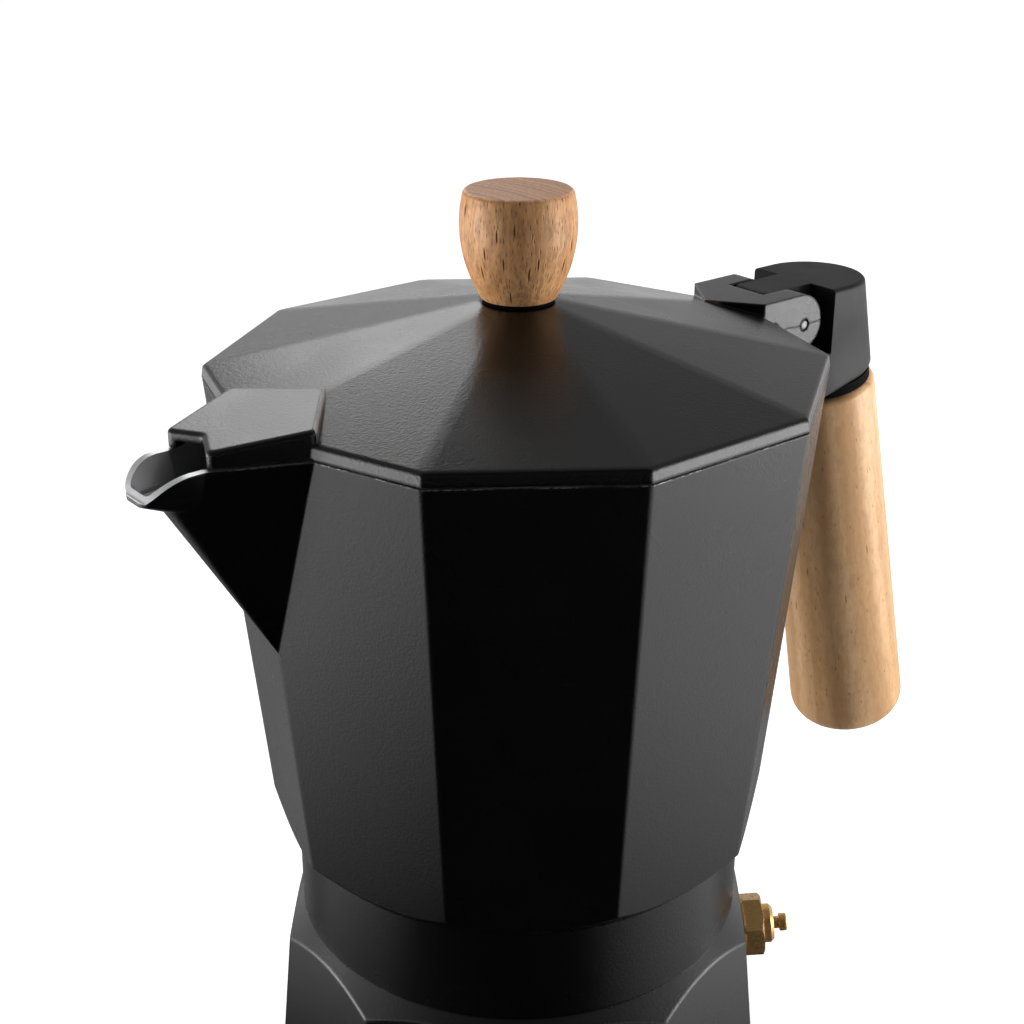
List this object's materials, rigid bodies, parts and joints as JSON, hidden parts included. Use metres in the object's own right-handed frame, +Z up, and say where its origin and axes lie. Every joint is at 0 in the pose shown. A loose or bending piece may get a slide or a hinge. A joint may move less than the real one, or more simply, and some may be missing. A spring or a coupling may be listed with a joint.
{
  "type": "stovetop coffee maker",
  "caption": "Ten-sided stovetop coffee maker: screwed-on boiler with safety valve, dip funnel and filter, pot with pouring spout, hinged lid with knob, and a leaning wooden handle.",
  "frame": {"origin": "centre of the boiler's flat bottom, on the pot's axis", "axes": "+Z up along the pot's axis, +X towards the handle, -X towards the spout"},
  "size_m": [0.2006, 0.1142, 0.2251],
  "materials": {
    "black_coat": "satin fine-textured black coat on cast aluminium",
    "black_plastic": "matte",
    "beech": "oiled, fine straight grain with short dark pores",
    "brass": "machined",
    "aluminium": "bare, satin",
    "steel": "bright",
    "silicone": "matte"
  },
  "bodies": {
    "boiler": {"boiler": "black_coat", "valve_body": "brass", "valve_washer": "brass", "valve_seat": "brass", "funnel": "aluminium", "funnel_disc": "aluminium"},
    "plunger": {"valve_plunger": "brass", "valve_seal": "silicone", "valve_spring": "steel"},
    "seal": {"gasket": "silicone", "filter_plate": "aluminium"},
    "pot": {"collector": "black_coat", "riser_column": "aluminium", "handle_bracket": "black_plastic", "bracket_screw": "steel", "hinge_pin": "steel", "grip_collar": "black_plastic", "handle_grip": "beech", "handle_washer": "steel", "handle_screw": "steel"},
    "lid": {"lid": "black_coat", "knob": "beech", "knob_spacer": "black_plastic", "knob_washer": "steel", "knob_screw": "steel"}
  },
  "joints": [
    {"name": "collector_lift", "type": "slide", "parent": "boiler", "child": "seal", "axis": [0, 0, 1], "range_m": [0, 0.006]},
    {"name": "collector_turn", "type": "hinge", "parent": "seal", "child": "pot", "pos_m": [0, 0, 0.0958], "axis": [0, 0, 1], "range_deg": [0, 720]},
    {"name": "lid_hinge", "type": "hinge", "parent": "pot", "child": "lid", "pos_m": [0.069, 0, 0.1883], "axis": [0, 1, 0], "range_deg": [0, 95]},
    {"name": "valve_lift", "type": "slide", "parent": "boiler", "child": "plunger", "axis": [0.7643, -0.6378, 0.0951], "range_m": [0, 0.0012], "stiffness_N_per_m": 1500, "springref_m": -0.001, "deforming": ["valve_spring"]}
  ],
  "couplings": [
    {"joint": "collector_lift", "follows": "collector_turn", "m_per_rad": 0.0004774}
  ]
}
